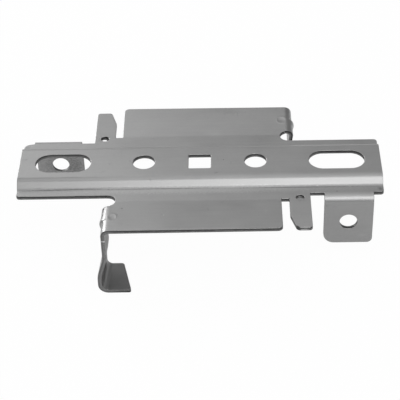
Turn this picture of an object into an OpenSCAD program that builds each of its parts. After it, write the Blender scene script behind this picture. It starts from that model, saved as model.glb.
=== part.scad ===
// Stamped and folded steel bracket: a raised channel with slots and holes along its top,
// a wing with a folded leg and foot on each side, and a finger and a drilled ear beside it.
// The bracket looks the same when it is turned half a turn about Z, apart from the pip of one
// finger. Z = 0 is the underside of the feet, X runs along the channel.

/* [Sheet] */
// Thickness of the steel sheet
sheet_t = 1.5; // [1.2:0.1:1.8]
// Inside radius of the channel bends
bend_r = 1.8; // [1.4:0.1:2.2]
// Height of the flange tops above the ground that the feet stand on
stand_h = 29.2; // [28:0.1:36]

/* [Channel] */
// Overall length of the channel
channel_len = 136; // [134:1:160]
// Width of the flat top of the channel
web_w = 16.2; // [15:0.1:17]
// Height of the channel top above the flange tops
web_rise = 2.9; // [2.6:0.1:3.4]
// Slope of the channel walls
wall_angle = 45; // [42:1:55]
// Width across both flange edges
flange_w = 32.6; // [31:0.1:33.5]
// Corner radius at the ends of the flanges
flange_corner_r = 1.3; // [0.6:0.1:1.8]

/* [Channel holes] */
// Steel left between an end slot and the end of the channel
slot_end_gap = 6; // [4:0.5:8]
// Length of an end slot
slot_len = 21; // [16:0.5:24]
// Width of an end slot
slot_w = 11; // [8:0.5:13]
// Distance between the centres of the two round holes
hole_spacing = 42; // [30:0.5:60]
// Diameter of the round holes
hole_d = 8.4; // [5:0.1:10]
// Side of the square hole in the middle
square_w = 8.4; // [5:0.1:10]
// Corner radius of the square hole
square_corner_r = 0.5; // [0.2:0.1:1]

/* [Wings] */
// Depth across the free edges of both wings
wing_span = 75; // [72:0.5:84]
// Distance from the middle of the bracket to the open side of a wing
wing_side_x = 30.1; // [26:0.1:31.5]
// Upward slope of a wing past its crease
wing_lift = 2.56; // [0.5:0.01:3]
// Corner radius of a wing at its open side
wing_corner_r = 1.6; // [0.8:0.1:3]

/* [Fingers] */
// Distance from the middle of the bracket to the outer side of a finger
finger_side_x = 40.8; // [40:0.1:42.5]
// Width of the gap between a finger and its wing
finger_gap = 2.9; // [2:0.1:3.2]
// Distance from the channel axis to the root of the gap
gap_root_y = 19.6; // [19:0.1:20.5]
// Radius in the two root corners of the gap
gap_root_r = 0.4; // [0.2:0.1:0.8]
// Distance from the channel axis to the tip of a finger
finger_tip_y = 36; // [32:0.1:38]
// How far the lead-in bevel runs across the tip
bevel_w = 2.2; // [1.5:0.1:3]
// How far the lead-in bevel runs along the finger
bevel_len = 7.2; // [4:0.1:9]
// Radius of the two tip corners
finger_corner_r = 1.2; // [0.5:0.1:1.6]
// Diameter of the pilot hole and of the pip
pilot_d = 2.9; // [2:0.1:3.6]
// Distance from the middle of the bracket to the pilot hole
pilot_x = 37; // [36:0.1:38]
// Distance from the channel axis to the pilot hole
pilot_y = 19; // [18.5:0.1:24]
// Depth that the half-sheared pip of the front finger is pushed down
pip_depth = 0.7; // [0.3:0.1:1]

/* [Ears] */
// Distance from the end of the channel to the outer side of an ear
ear_end_gap = 3.8; // [3:0.1:5]
// Width of an ear
ear_w = 18.2; // [15:0.1:20]
// Flat length between the flange edge and the start of the ear bend
ear_root = 0.1; // [0.1:0.1:1.5]
// Inside radius of the ear bends
ear_bend_r = 1.5; // [1:0.1:2.2]
// Drop of an ear below the flange top
ear_drop = 21.7; // [18:0.1:25]
// Radius of the lower corner on the side of the finger
ear_inner_r = 4; // [2:0.1:6]
// Radius of the lower corner at the end of the bracket
ear_outer_r = 2; // [1:0.1:4]
// Diameter of the ear hole
ear_hole_d = 6.6; // [4:0.1:8]
// Drop of the ear hole below the flange top
ear_hole_drop = 11.6; // [9:0.1:13]

/* [Legs] */
// Distance from the middle of the bracket to the outer face of a leg
leg_face_x = 35.5; // [34.5:0.1:37]
// Width of a leg, from the free edge of its wing
leg_w = 15; // [12:0.5:17]
// Inside radius where the leg folds down from the wing
leg_bend_r = 1.3; // [0.8:0.1:1.8]
// How far in the relief notch beside the leg reaches, from the leg's outer face
notch_depth = 4.6; // [4:0.1:6]
// Drop from the flange top to the start of the joggle
joggle_drop = 11.2; // [10:0.1:12]
// Sideways step of the joggle
joggle_step = 2.4; // [1.8:0.1:3]
// Slope of the leg in the joggle
joggle_angle = 17; // [15:1:20]
// Inside radius of the two joggle bends
joggle_r = 13.2; // [8:0.1:14]

/* [Feet] */
// Inside radius where the foot folds in from the leg
foot_bend_r = 2.3; // [1.5:0.1:3]
// Reach of the foot from the leg's outermost face at the free edge
foot_reach_front = 12.2; // [10:0.1:16]
// Reach of the foot from the leg's outermost face at the notch side
foot_reach_back = 8.8; // [7:0.1:10]
// Radius of the two foot corners
foot_corner_r = 1.5; // [0.8:0.1:2.5]

/* [Hidden] */
$fn = 72;

steel = [0.62, 0.63, 0.64];
// Overlap of neighbouring flats in one plane, so that they join into one sheet
lap = 1;
// Length that is safely beyond every edge
beyond = 60;
// Rounding arcs are this much fuller, so that they cross the straight edges they meet
touch = 0.001;

web_top_z = stand_h + web_rise;
flange_y = flange_w / 2;
wing_y = wing_span / 2;
slot_x = channel_len / 2 - slot_end_gap - slot_len / 2;
ear_x = channel_len / 2 - ear_end_gap - ear_w / 2;
ear_face_y = flange_y + ear_root + ear_bend_r + sheet_t;

// The outer face turns from web to wall and from wall to flange at these virtual corners
web_corner_y = web_w / 2 + (bend_r + sheet_t) * tan(wall_angle / 2);
wall_foot_y = web_corner_y + web_rise / tan(wall_angle);

// A wing starts to rise past the rounded root of the finger gap
crease_y = gap_root_y + gap_root_r;
finger_inner_x = wing_side_x + finger_gap;

leg_root_y = wing_y - leg_w;
leg_bend_start_x = leg_face_x - leg_bend_r - sheet_t;
notch_r = (leg_root_y - flange_y) / 2;
notch_y = (leg_root_y + flange_y) / 2;
notch_x = leg_face_x - notch_depth + notch_r;
// Flat part of the leg, above the joggle, that the fold and the joggle share
shared_flat = 5;
joggle_top_z = stand_h - joggle_drop - joggle_r * tan(joggle_angle / 2);
joggle_foot_z = joggle_top_z - joggle_step / tan(joggle_angle);
foot_side_x = leg_face_x + joggle_step;

// Unit vector from one point towards another
function towards(from, to) = (to - from) / norm(to - from);

// The direction to the right of a direction of travel
function right_of(d) = [d.y, -d.x];

// Corner of the inner face that belongs to corner i of the outer face
function inner_corner(path, i) =
    let (
        last = len(path) - 1,
        before = right_of(towards(path[max(i, 1) - 1], path[max(i, 1)])),
        after = right_of(towards(path[min(i, last - 1)], path[min(i, last - 1) + 1]))
    )
    path[i] + (before + after) * sheet_t / (1 + before * after);

// Does a path turn to the left at corner i?
function turns_left(path, i) = right_of(path[i] - path[i - 1]) * (path[i + 1] - path[i]) < 0;

// What lies between the corner i of a path and the arc of radius r that rounds it
module corner_piece(path, i, r) {
    n = len(path);
    p = path[i];
    u = towards(p, path[(i + n - 1) % n]);
    v = towards(p, path[(i + 1) % n]);
    w = towards(p, p + u + v);
    half_angle = acos(u * v) / 2;
    centre = p + w * r / sin(half_angle);
    tangent = r / tan(half_angle);
    difference() {
        polygon([centre, p + u * tangent, p - w * sheet_t / 4, p + v * tangent]);
        translate(centre) circle(r + touch);
    }
}

// Polygon with convex corners rounded to the radius given for each point, 0 for a sharp one
module rounded_polygon(points, radii) {
    difference() {
        polygon(points);
        for (i = [0:len(points) - 1])
            if (radii[i] > 0)
                corner_piece(points, i, radii[i]);
    }
}

// Folded sheet seen from its edge. The path is its outer face with sharp corners, the sheet lies
// to the right of it, and each inside radius rounds the corner of the same number.
module folded_sheet(path, inside_radii) {
    last = len(path) - 1;
    inner = [for (i = [0:last]) inner_corner(path, i)];
    difference() {
        union() {
            polygon(concat(path, [for (i = [last:-1:0]) inner[i]]));
            for (i = [1:last - 1])
                corner_piece(turns_left(path, i) ? path : inner, i, inside_radii[i]);
        }
        for (i = [1:last - 1])
            corner_piece(turns_left(path, i) ? inner : path, i, inside_radii[i] + sheet_t);
    }
}

// Draws a section of the Y-Z plane along X
module along_x(from, to) {
    translate([from, 0, 0]) rotate([90, 0, 90]) linear_extrude(to - from) children();
}

// Draws a section of the X-Z plane along Y
module along_y(from, to) {
    translate([0, to, 0]) rotate([90, 0, 0]) linear_extrude(to - from) children();
}

// Frame of the lifted wing at the back: X as before, Y past the crease, Z from its top face
module on_wing() {
    translate([0, crease_y, stand_h]) rotate([wing_lift, 0, 0]) children();
}

// Slot with round ends along X
module slot_outline() {
    straight = slot_len - slot_w;
    square([straight, slot_w], center = true);
    for (side = [-1, 1])
        translate([side * straight / 2, 0]) circle(d = slot_w);
}

module square_outline() {
    s = square_w / 2;
    rounded_polygon([[-s, -s], [s, -s], [s, s], [-s, s]], [for (i = [0:3]) square_corner_r]);
}

// Openings in the top of the channel
module channel_holes() {
    square_outline();
    for (side = [-1, 1]) {
        translate([side * slot_x, 0]) slot_outline();
        translate([side * hole_spacing / 2, 0]) circle(d = hole_d);
    }
}

// Round-ended notch that frees the leg from the flange
module relief_notch() {
    translate([notch_x, notch_y]) circle(notch_r);
    translate([notch_x, flange_y]) square([beyond, 2 * notch_r]);
}

// Gap between the wing and the finger, open at the free edge
module gap_outline() {
    rounded_polygon(
        [[-finger_inner_x, gap_root_y], [-wing_side_x, gap_root_y],
         [-wing_side_x, beyond], [-finger_inner_x, beyond]],
        [gap_root_r, gap_root_r, 0, 0]);
}

// Finger at the back left, with the neck that carries it and the wing
module finger_outline() {
    rounded_polygon(
        [[notch_x, flange_y - lap], [notch_x, crease_y], [-finger_inner_x, crease_y],
         [-finger_inner_x, finger_tip_y - bevel_len], [-finger_inner_x - bevel_w, finger_tip_y],
         [-finger_side_x, finger_tip_y], [-finger_side_x, flange_y - lap]],
        [0, 0, 0, 0, finger_corner_r, finger_corner_r, 0]);
}

// Everything that lies in the plane of the flanges, seen from above
module flat_plan() {
    end_x = channel_len / 2;
    difference() {
        union() {
            rounded_polygon(
                [[-end_x, -flange_y], [end_x, -flange_y], [end_x, flange_y], [-end_x, flange_y]],
                [for (i = [0:3]) flange_corner_r]);
            for (turn = [0, 180])
                rotate(turn)
                    difference() {
                        finger_outline();
                        relief_notch();
                        gap_outline();
                    }
        }
        channel_holes();
        // The back finger is pierced through
        translate([-pilot_x, pilot_y]) circle(d = pilot_d);
    }
}

// The back wing from above, from just before its crease to its free edge
module wing_plan() {
    difference() {
        rounded_polygon(
            [[-wing_side_x, crease_y - lap], [leg_bend_start_x, crease_y - lap],
             [leg_bend_start_x, wing_y], [-wing_side_x, wing_y]],
            [0, 0, 0, wing_corner_r]);
        relief_notch();
    }
}

// Channel, flanges and fingers: the folded section cut to the plan
module flat_sheet() {
    side = [[web_corner_y, web_top_z], [wall_foot_y, stand_h], [beyond, stand_h]];
    path = concat([for (i = [2:-1:0]) [-side[i].x, side[i].y]], side);
    intersection() {
        along_x(-beyond * 2, beyond * 2)
            folded_sheet(path, [0, bend_r, bend_r, bend_r, bend_r, 0]);
        linear_extrude(web_top_z + lap) flat_plan();
    }
}

// The back wing. Its top faces meet in a crease, and both undersides are cut from below.
module wing() {
    difference() {
        intersection() {
            union() {
                translate([-beyond, crease_y - lap, 0]) cube([2 * beyond, 2 * lap, stand_h]);
                on_wing()
                    translate([-beyond, -lap, -stand_h]) cube([2 * beyond, beyond, stand_h]);
            }
            linear_extrude(web_top_z + lap) wing_plan();
        }
        translate([-beyond, 0, -beyond]) cube([2 * beyond, beyond, beyond + stand_h - sheet_t]);
        on_wing()
            translate([-beyond, -2 * lap, -beyond - sheet_t]) cube([2 * beyond, beyond, beyond]);
    }
}

// Half-sheared pip of the front finger, pushed down but not out
module pip(top_z) {
    translate([pilot_x, -pilot_y, top_z - sheet_t]) cylinder(h = sheet_t, d = pilot_d);
}

// The back left ear, folded down from the flange edge
module ear() {
    near = -ear_x + ear_w / 2;
    far = -ear_x - ear_w / 2;
    bottom_z = stand_h - ear_drop;
    intersection() {
        along_x(far, near)
            folded_sheet(
                [[flange_y - lap, stand_h], [ear_face_y, stand_h], [ear_face_y, bottom_z]],
                [0, ear_bend_r, 0]);
        along_y(flange_y - 2 * lap, ear_face_y + lap)
            difference() {
                rounded_polygon(
                    [[far, bottom_z], [near, bottom_z], [near, stand_h + lap], [far, stand_h + lap]],
                    [ear_outer_r, ear_inner_r, 0, 0]);
                translate([-ear_x, stand_h - ear_hole_drop]) circle(d = ear_hole_d);
            }
    }
}

// Leg and foot from above: straight sides, and a slanted end to the foot
module leg_plan() {
    rounded_polygon(
        [[beyond, leg_root_y], [beyond, wing_y],
         [foot_side_x - foot_reach_front, wing_y], [foot_side_x - foot_reach_back, leg_root_y]],
        [0, 0, foot_corner_r, foot_corner_r]);
}

// Where the back right leg folds down from the side of the wing
module leg_fold() {
    start = leg_bend_start_x - leg_face_x - lap;
    translate([leg_face_x, 0, 0])
        on_wing()
            along_y(0, beyond)
                folded_sheet([[start, 0], [0, 0], [0, lap - joggle_drop]], [0, leg_bend_r, 0]);
}

// The leg below its fold: an outward joggle, a straight shin and the foot folded inwards
module shin_and_foot() {
    along_y(0, beyond)
        folded_sheet(
            [[leg_face_x, stand_h - joggle_drop + shared_flat], [leg_face_x, joggle_top_z],
             [foot_side_x, joggle_foot_z], [foot_side_x, 0], [foot_side_x - foot_reach_front - lap, 0]],
            [0, joggle_r, joggle_r, foot_bend_r, 0]);
}

module leg() {
    intersection() {
        union() {
            leg_fold();
            shin_and_foot();
        }
        linear_extrude(web_top_z + lap) leg_plan();
    }
}

module bracket() {
    color(steel)
        difference() {
            union() {
                flat_sheet();
                for (turn = [0, 180])
                    rotate(turn) {
                        wing();
                        ear();
                        leg();
                    }
                pip(stand_h - pip_depth);
            }
            pip(stand_h + sheet_t - pip_depth);
        }
}

bracket();
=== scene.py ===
"""A stamped and folded steel bracket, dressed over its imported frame.

The bracket is one piece of sheet steel. Its outer face is laid out and folded as a thin sheet, one
half at a time, then it gets its wall, its holes, its corners and its softened edges, and last the
plated skin and the two bands of a sheared edge. All sizes are in millimetres.
"""

import logging
import math
from collections.abc import Callable, Iterator
from dataclasses import dataclass, field
from enum import Enum

import bmesh
import bpy
from mathutils import Matrix, Vector


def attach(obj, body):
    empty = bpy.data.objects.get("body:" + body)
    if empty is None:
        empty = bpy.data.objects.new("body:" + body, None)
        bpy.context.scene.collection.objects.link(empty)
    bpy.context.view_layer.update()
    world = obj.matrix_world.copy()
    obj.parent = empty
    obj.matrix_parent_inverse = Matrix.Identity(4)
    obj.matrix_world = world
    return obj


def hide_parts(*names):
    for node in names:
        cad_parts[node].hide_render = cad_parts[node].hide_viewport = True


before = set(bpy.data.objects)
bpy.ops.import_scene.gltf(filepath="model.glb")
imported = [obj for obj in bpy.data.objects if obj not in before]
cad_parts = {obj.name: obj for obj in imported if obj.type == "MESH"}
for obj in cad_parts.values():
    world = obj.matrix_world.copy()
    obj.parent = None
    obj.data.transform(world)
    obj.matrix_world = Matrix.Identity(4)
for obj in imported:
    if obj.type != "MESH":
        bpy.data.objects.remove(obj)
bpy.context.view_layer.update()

logging.basicConfig(level=logging.INFO, format="%(message)s")
log = logging.getLogger("bracket")

MM = 0.001  # a millimetre in metres
OPEN = (-1e4, 1e4)  # a side of a zone that is left open, in millimetres
WELD = 0.004 * MM  # corners nearer than this are merged
HAIR = 0.001 * MM  # a cut takes corners nearer than this as lying on it
PLAY = 0.1  # room round a place that is looked for, in millimetres


class Slot(Enum):
    """The material slots of the sheet."""

    OUTER = 0
    SHEARED = 1
    INNER = 2


@dataclass(frozen=True)
class Zone:
    """A box in millimetres, for picking what lies inside it. A side that isn't given is open."""

    x: tuple[float, float] = OPEN
    y: tuple[float, float] = OPEN
    z: tuple[float, float] = OPEN
    slack: float = 0.02

    def holds(self, point: Vector) -> bool:
        """Says whether a point, in metres, lies inside."""
        return all(
            low - self.slack <= value / MM <= high + self.slack
            for value, (low, high) in zip(point, (self.x, self.y, self.z))
        )


class Bench:
    """A mesh on the bench: parts of it are picked by place, then worked on with operators."""

    def __init__(self, piece: bpy.types.Object) -> None:
        """Puts a piece on the bench.

        Args:
            piece: The mesh object that all methods work on.
        """
        self.piece = piece

    @classmethod
    def sheet(cls, name: str, x: tuple[float, float], y: tuple[float, float], z: float) -> "Bench":
        """Lays out a flat rectangle that faces up.

        Args:
            name: Name of the new object.
            x: Its two ends along X.
            y: Its two ends along Y.
            z: Its height.

        Returns:
            The bench with the rectangle on it.
        """
        bpy.ops.object.select_all(action="DESELECT")
        bpy.ops.mesh.primitive_plane_add(size=1, location=(0, 0, 0))
        bench = cls(bpy.context.object)
        bench.piece.name = name
        bench.open()
        bpy.ops.mesh.select_all(action="SELECT")
        bpy.ops.transform.resize(value=((x[1] - x[0]) * MM, (y[1] - y[0]) * MM, 1))
        bench.shift((sum(x) / 2, sum(y) / 2, z))
        return bench

    def hold(self) -> None:
        """Makes the piece the only selected object, and the active one."""
        bpy.ops.object.select_all(action="DESELECT")
        bpy.context.view_layer.objects.active = self.piece
        self.piece.select_set(True)

    def open(self) -> None:
        """Opens the piece for editing, with edges to pick."""
        self.hold()
        bpy.ops.object.mode_set(mode="EDIT")
        bpy.ops.mesh.select_mode(type="EDGE")

    def close(self) -> None:
        """Ends the editing."""
        bpy.ops.object.mode_set(mode="OBJECT")

    def pick(self, *zones: Zone, test: Callable[[Vector, Vector], bool] | None = None) -> int:
        """Picks the edges that lie inside one of the zones.

        Args:
            zones: The boxes to look in.
            test: A further test of an edge's two ends, in metres.

        Returns:
            How many edges were picked.
        """
        bpy.ops.mesh.select_all(action="DESELECT")
        mesh = bmesh.from_edit_mesh(self.piece.data)
        found = 0
        for edge in mesh.edges:
            a, b = (vertex.co for vertex in edge.verts)
            if any(zone.holds(a) and zone.holds(b) for zone in zones) and (
                test is None or test(a, b)
            ):
                edge.select_set(True)
                found += 1
        mesh.select_flush_mode()
        bmesh.update_edit_mesh(self.piece.data)
        return found

    def corners(self) -> Iterator[bmesh.types.BMVert]:
        """Yields each corner of the open mesh, to be moved, and then takes up the changes."""
        mesh = bmesh.from_edit_mesh(self.piece.data)
        yield from mesh.verts
        bmesh.update_edit_mesh(self.piece.data)

    def shift(self, by: tuple[float, float, float]) -> None:
        """Moves what is picked."""
        bpy.ops.transform.translate(value=Vector(by) * MM)

    def extend(self, by: tuple[float, float, float] | Vector) -> None:
        """Runs the picked edges out into new faces."""
        bpy.ops.mesh.extrude_region_move(TRANSFORM_OT_translate={"value": Vector(by) * MM})

    def weld(self) -> None:
        """Merges all corners that meet."""
        bpy.ops.mesh.select_all(action="SELECT")
        bpy.ops.mesh.remove_doubles(threshold=WELD)

    def score(self, place: Vector, normal: Vector) -> None:
        """Cuts all faces along a plane, so that they can be folded or shaped there."""
        bpy.ops.mesh.select_all(action="SELECT")
        bpy.ops.mesh.bisect(plane_co=place * MM, plane_no=normal)

    def round_off(self, radius: float, steps: int, slot: Slot = Slot.SHEARED) -> None:
        """Rounds the picked edges of the solid sheet and gives the new faces a slot."""
        bpy.ops.mesh.bevel(
            offset=radius * MM,
            segments=steps,
            profile=0.5,
            affect="EDGES",
            clamp_overlap=True,
            material=slot.value,
        )

    def finish_with(self, name: str, kind: str, **settings: object) -> None:
        """Adds one modifier and applies it.

        Args:
            name: Name of the modifier.
            kind: Blender's type name of the modifier.
            settings: Its settings.
        """
        modifier = self.piece.modifiers.new(name, kind)
        for key, value in settings.items():
            setattr(modifier, key, value)
        self.hold()
        bpy.ops.object.modifier_apply(modifier=modifier.name)


class Brake:
    """Folds a picked row of edges as a press brake does: out flat, round a bend, and on."""

    def __init__(self, bench: Bench, start: Vector, heading: Vector, up: Vector) -> None:
        """Takes hold of a row of edges.

        Args:
            bench: The bench, with the row picked.
            start: A point of the row, in millimetres.
            heading: Direction in which the sheet goes on.
            up: Normal of the outer face.
        """
        self.bench = bench
        self.place = start.copy()
        self.heading = heading.normalized()
        self.up = up.normalized()

    def flat(self, length: float) -> None:
        """Runs the sheet on without a bend."""
        step = self.heading * length
        self.bench.extend(step)
        self.place += step

    def bend(self, degrees: float, radius: float, steps: int) -> None:
        """Folds the sheet round an arc.

        Args:
            degrees: Angle of the bend; a positive one turns towards the outer side.
            radius: Radius of the outer face.
            steps: Number of faces round the arc.
        """
        side = 1 if degrees > 0 else -1
        centre = self.place + self.up * radius * side
        axis = self.heading.cross(self.up)
        bpy.ops.mesh.spin(
            steps=steps, angle=-math.radians(degrees), center=centre * MM, axis=axis
        )
        turn = Matrix.Rotation(math.radians(degrees), 3, axis)
        self.place = centre + turn @ (self.place - centre)
        self.heading = turn @ self.heading
        self.up = turn @ self.up


@dataclass
class Dart:
    """The dart across the leg's fold: a dimple in the wing, and the bulge it leaves on the leg."""

    middle_y: float = 29.3
    reach_x: tuple[float, float] = (27.0, 40.0)
    dimple_along: float = -3.25
    dimple_half: tuple[float, float] = (1.5, 1.85)
    dimple_depth: float = 0.1
    rim: float = 0.06
    rim_ring: tuple[float, float] = (1.1, 0.16)
    bulge: float = 0.62
    bulge_place: tuple[float, float] = (2.9, 0.15)
    bulge_spread: float = 1.8
    root_spread: float = 1.7
    edge_spread: float = 1.9
    step: float = 0.36
    step_across: float = 1.25
    step_softness: float = 0.13
    step_along: tuple[float, float] = (1.2, 2.0)

    def offset(self, along: float, across: float) -> float:
        """How far the outer face stands out at a place.

        Args:
            along: Distance over the fold from its middle line, positive on the leg.
            across: Distance from the dart's middle, positive towards the wing's free edge.

        Returns:
            The offset along the face's normal in millimetres, negative inside the dimple.
        """
        half_x, half_y = self.dimple_half
        ring = math.hypot((along - self.dimple_along) / half_x, across / half_y)
        dimple = self.dimple_depth * (1 - ring * ring) ** 1.5 if ring < 1 else 0.0
        rim = self.rim * self.hump(ring, *self.rim_ring)
        bulge_along, bulge_across = self.bulge_place
        aside = across - bulge_across
        spread = self.root_spread if aside < 0 else self.edge_spread
        squared = (aside / spread) ** 2 + ((along - bulge_along) / self.bulge_spread) ** 2
        bulge = self.bulge * math.exp(-squared)
        step = self.step / (1 + math.exp((across - self.step_across) / self.step_softness))
        step *= self.hump(along, *self.step_along)
        return bulge + step + rim - dimple

    @staticmethod
    def hump(value: float, middle: float, width: float) -> float:
        """Returns 1 at the middle, falling off to both sides over about the width."""
        return math.exp(-(((value - middle) / width) ** 2))


@dataclass
class FoldedBracket:
    """The whole bracket, from the flat top of its channel out to its feet and ears."""

    sheet: float = 1.5
    bend: float = 1.8
    stand: float = 29.2
    half_length: float = 68.0
    web_half: float = 8.1
    web_rise: float = 2.9
    wall_angle: float = 45.0
    flange: float = 16.3
    flange_corner: float = 1.3
    dull_corner: float = 2.3
    dull_corner_set_back: tuple[float, float] = (0.75, 0.45)
    slot_x: float = 51.5
    slot_length: float = 21.0
    slot_width: float = 11.0
    hole_x: float = 21.0
    hole_width: float = 8.4
    square: float = 8.4
    square_corner: float = 0.5
    wing_side: float = 30.1
    wing_edge: float = 37.5
    wing_corner: float = 1.9
    crease: float = 20.0
    crease_softness: float = 0.4
    lift: float = 2.56
    corner_lift: float = 0.22
    gap_root: float = 19.6
    gap_corner: float = 0.4
    finger_near: float = 33.0
    finger_far: float = 40.8
    finger_tip: float = 36.15
    lead_in: tuple[float, float] = (2.2, 7.2)
    finger_corner: float = 1.2
    pilot: tuple[float, float] = (37.0, 19.0)
    pilot_width: float = 3.1
    pilot_taper: float = 0.8
    pilot_lean: float = 0.3
    pip_depth: float = 0.7
    ear: tuple[float, float] = (46.0, 64.2)
    ear_face: float = 19.4
    ear_bend: float = 1.5
    ear_drop: float = 21.7
    ear_corners: tuple[float, float] = (4.0, 2.0)
    ear_hole: tuple[float, float] = (55.1, 11.6)
    ear_hole_width: float = 6.6
    leg_face: float = 35.5
    leg_root: float = 22.5
    leg_bend: float = 1.3
    notch_tip: float = 30.9
    notch_play: float = 0.04
    joggle_drop: float = 11.2
    joggle_step: float = 2.4
    joggle_angle: float = 17.0
    joggle_bend: float = 13.2
    foot_bend: float = 2.3
    foot_ends: tuple[float, float] = (29.1, 25.7)
    foot_corner: float = 1.5
    foot_edge: float = 0.38
    rubbed_height: float = 3.2
    rubbed_reach: tuple[float, float] = (24.0, 37.9)
    edge_softness: float = 0.14
    sharp_turn: float = math.radians(38)
    # where sharp edges start to be made lighter, as wear and as a painted highlight
    wear_and_highlight_turn: float = 0.33
    wear_and_highlight_range: float = 0.15
    steps_per_mm: float = 3.2
    just_short: float = 0.9998
    bend_steps: int = 14
    channel_steps: int = 8
    joggle_steps: int = 7
    corner_steps: int = 6
    large_corner_steps: int = 8
    edge_steps: int = 3
    smooth_turn: float = math.radians(34)
    row_step: float = 0.34
    rows_before: tuple[float, float] = (23.4, 24.3)
    rows_after: tuple[float, float] = (34.0, 35.4)
    score_step: float = 0.25
    score_count: int = 14
    shin_step: float = 0.3
    shin_count: int = 16
    leg_turn: float = 4.4
    turn_drops: tuple[float, float] = (1.0, 7.0)
    back_leg_out: float = 0.4
    dart: Dart = field(default_factory=Dart)
    materials: list[bpy.types.Material] = field(default_factory=list)

    @property
    def leg_start(self) -> float:
        """Where the wing starts to fold down into the leg."""
        return self.leg_face - self.leg_bend - self.sheet

    @property
    def flat_heights(self) -> tuple[float, float]:
        """Heights that the flat of the sheet lies between, with a little play."""
        return (self.stand - self.sheet - PLAY, self.stand + PLAY)

    def rows(self) -> list[float]:
        """The rows that the wing is laid out in, closer together across the dart."""
        near = [self.dart.middle_y + self.row_step * i for i in range(-12, 12)]
        return [self.leg_root, *self.rows_before, *near, *self.rows_after, self.wing_edge]

    def lay_out_channel(self) -> Bench:
        """Folds half of the channel: the top, the sloping wall and the flange.

        Returns:
            The bench with the half channel on it.
        """
        top = self.stand + self.web_rise
        bench = Bench.sheet(
            "bracket_skin", (-self.half_length, self.half_length), (0, self.web_half), top
        )
        notch_middle_x = self.notch_tip + (self.leg_root - self.flange) / 2
        fingers = (self.finger_near, self.finger_far)
        for mark in (*self.ear, *fingers, self.wing_side, self.leg_start, notch_middle_x):
            for side in (-1, 1):
                bench.score(Vector((side * mark, 0, 0)), Vector((1, 0, 0)))
        bench.pick(Zone(y=(self.web_half, self.web_half)))
        brake = Brake(bench, Vector((0, self.web_half, top)), Vector((0, 1, 0)), Vector((0, 0, 1)))
        outer = self.bend + self.sheet
        turn = math.radians(self.wall_angle)
        wall = (self.web_rise - (outer + self.bend) * (1 - math.cos(turn))) / math.sin(turn)
        brake.bend(-self.wall_angle, outer, self.channel_steps)
        brake.flat(wall)
        brake.bend(self.wall_angle, self.bend, self.channel_steps)
        brake.flat(self.flange - brake.place.y)
        return bench

    def fold_ear(self, bench: Bench) -> None:
        """Folds the ear down from the flange."""
        edge = (self.flange, self.flange)
        bench.pick(Zone(x=(-self.ear[1], -self.ear[0]), y=edge))
        outer = self.ear_bend + self.sheet
        start = Vector((-self.ear[0], self.flange, self.stand))
        brake = Brake(bench, start, Vector((0, 1, 0)), Vector((0, 0, 1)))
        brake.flat(self.ear_face - outer - self.flange)
        brake.bend(-90, outer, self.bend_steps)
        brake.flat(self.ear_drop - outer)

    def lay_out_finger_and_wing(self, bench: Bench) -> None:
        """Runs the neck out of the flange, then the finger and the wing out of the neck."""
        notch_radius = (self.leg_root - self.flange) / 2
        notch_x = self.notch_tip + notch_radius
        notch_y = self.flange + notch_radius
        bench.pick(Zone(x=(-self.finger_far, notch_x), y=(self.flange, self.flange)))
        bench.extend((0, notch_radius, 0))
        bench.pick(Zone(x=(-self.finger_far, self.leg_start), y=(notch_y, notch_y)))
        bench.extend((0, self.gap_root - notch_y, 0))
        root = (self.gap_root, self.gap_root)
        across, back = self.lead_in
        bench.pick(Zone(x=(-self.finger_far, -self.finger_near), y=root))
        bench.extend((0, self.finger_tip - back - self.gap_root, 0))
        bench.extend((0, back, 0))
        tip = (self.finger_tip, self.finger_tip)
        bench.pick(Zone(x=(-self.finger_far, -self.finger_near), y=tip))
        narrow = -self.finger_near - across
        self.draw_to(bench, Zone(x=(narrow, -self.finger_near), y=tip), narrow)
        bench.pick(Zone(x=(-self.wing_side, self.leg_start), y=root))
        last = self.gap_root
        soft = [self.gap_root + self.crease_softness * i / 2 for i in (1, 2, 3, 4)]
        for row in (*soft, *self.rows()):
            bench.extend((0, row - last, 0))
            last = row

    def draw_to(self, bench: Bench, zone: Zone, x: float) -> None:
        """Draws all corners that lie in a zone to one place along X, and merges those that meet.

        Args:
            bench: The bench.
            zone: Where the corners are.
            x: Their new place.
        """
        for vertex in bench.corners():
            if zone.holds(vertex.co):
                vertex.co.x = x * MM
        bench.weld()

    def fold_leg(self, bench: Bench) -> None:
        """Folds the leg down from the wing, joggles it outwards and folds the foot in."""
        for i in range(1, self.score_count + 1):
            bench.score(Vector((self.leg_start - self.score_step * i, 0, 0)), Vector((1, 0, 0)))
        across = (self.leg_root, self.wing_edge)
        bench.pick(Zone(x=(self.leg_start,) * 2, y=across, z=(self.stand,) * 2))
        start = Vector((self.leg_start, self.leg_root, self.stand))
        brake = Brake(bench, start, Vector((1, 0, 0)), Vector((0, 0, 1)))
        brake.bend(-90, self.leg_bend + self.sheet, self.bend_steps)
        for _ in range(self.shin_count):
            brake.flat(self.shin_step)
        brake.flat(brake.place.z - (self.stand - self.joggle_drop))
        turn = math.radians(self.joggle_angle)
        full = self.joggle_bend + self.sheet
        in_bends = (full + self.joggle_bend) * (1 - math.cos(turn))
        ramp = (self.joggle_step - in_bends) / math.sin(turn)
        brake.bend(self.joggle_angle, self.joggle_bend, self.joggle_steps)
        brake.flat(ramp)
        brake.bend(-self.joggle_angle, full, self.joggle_steps)
        foot = self.foot_bend + self.sheet
        brake.flat(brake.place.z - foot)
        brake.bend(-90, foot, self.bend_steps)
        root_end, edge_end = self.foot_ends
        brake.flat(brake.place.x - root_end)
        end = Zone(x=(root_end, root_end), z=(0, 0))
        self.slant_foot(bench, end, edge_end - root_end)

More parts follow.
